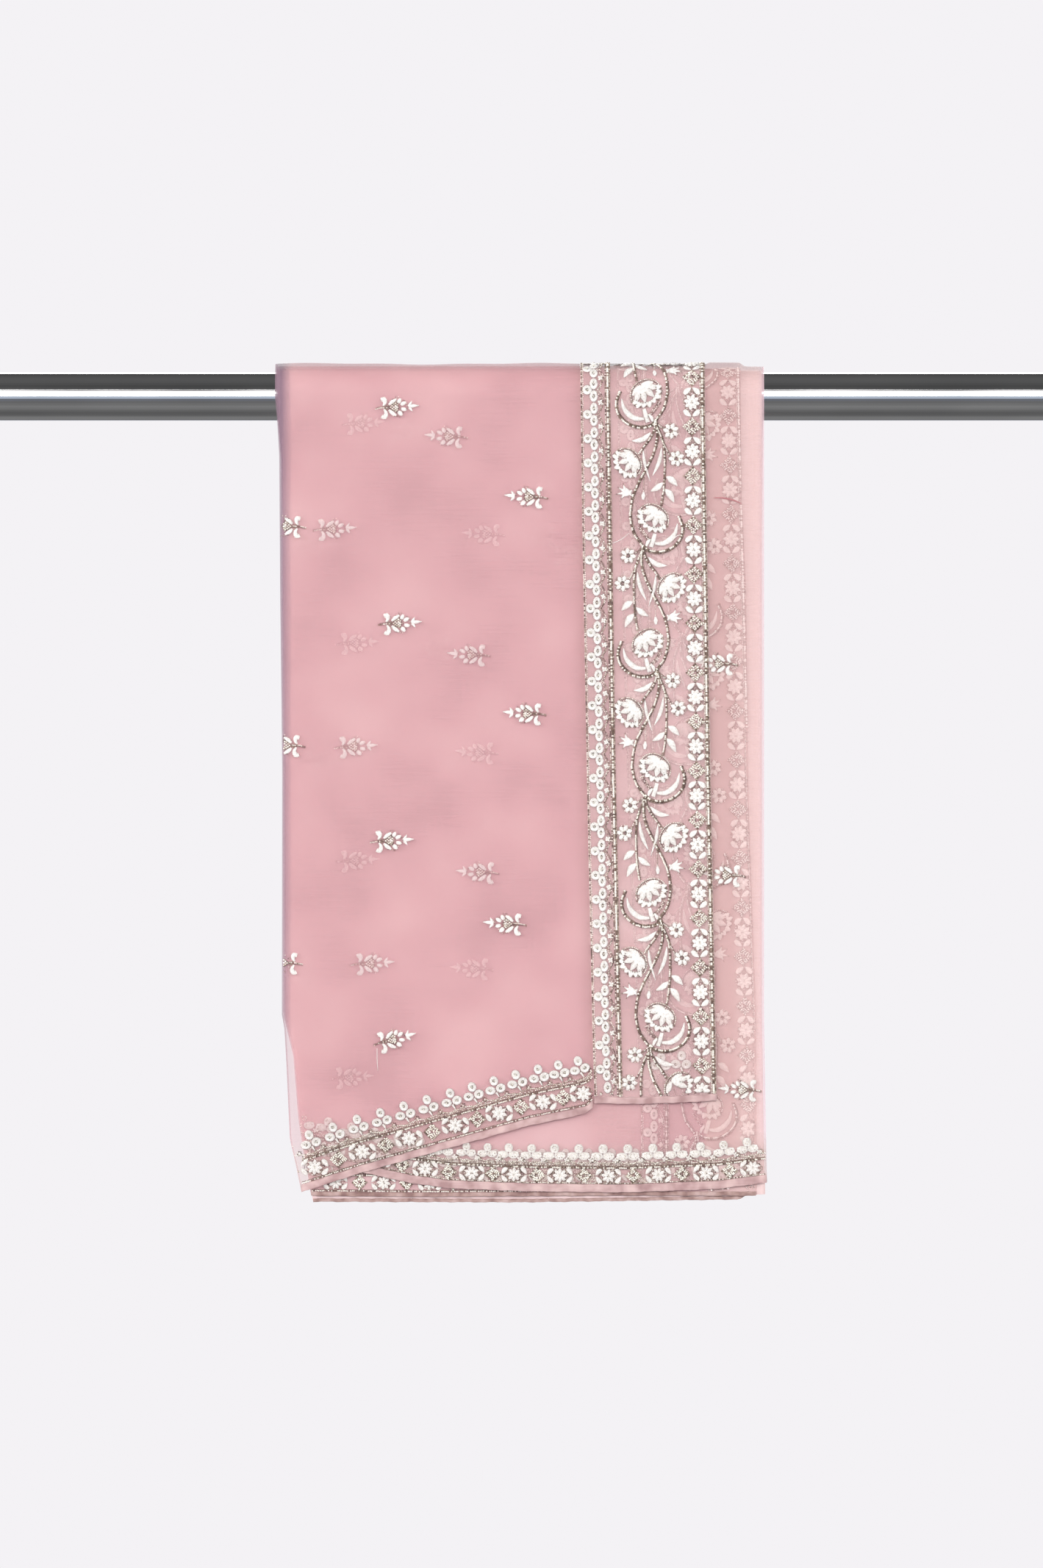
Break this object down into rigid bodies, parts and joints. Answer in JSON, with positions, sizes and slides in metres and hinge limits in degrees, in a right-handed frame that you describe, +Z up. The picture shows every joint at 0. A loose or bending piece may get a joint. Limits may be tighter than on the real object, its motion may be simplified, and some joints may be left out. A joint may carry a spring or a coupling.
{
  "type": "dupatta stole on a rod",
  "caption": "Sheer embroidered dupatta stole, folded lengthwise and hung over a round polished rod, with floral pallu and bordered ends.",
  "frame": {"origin": "on the rod's axis, above the middle of the folded cloth, where the rod holds the part up", "axes": "+X along the rod to the viewer's right, -Y towards the viewer, +Z up"},
  "size_m": [0.66, 0.0444, 0.5142],
  "materials": {
    "polished_rod": "polished",
    "organza": "sheer, soft sheen",
    "organza_under": "sheer, soft sheen",
    "organza_hem": "folded double, soft sheen",
    "embroidered_organza": "white satin stitch and dull metal cord on a sheer ground"
  },
  "bodies": {
    "root": {"rod": "polished_rod", "inner_folds": "organza", "third_stretch": "organza_under", "second_field": "organza_under", "second_band_front": "embroidered_organza", "second_band_back": "embroidered_organza", "second_hem_front": "organza_hem", "second_hem_back": "organza_hem", "top_field": "organza", "top_band_front": "embroidered_organza", "top_band_back": "embroidered_organza", "top_hem_front": "organza_hem", "top_hem_back": "organza_hem", "pallu": "embroidered_organza", "pallu_hem_front": "organza_hem", "pallu_hem_back": "organza_hem"}
  },
  "joints": []
}
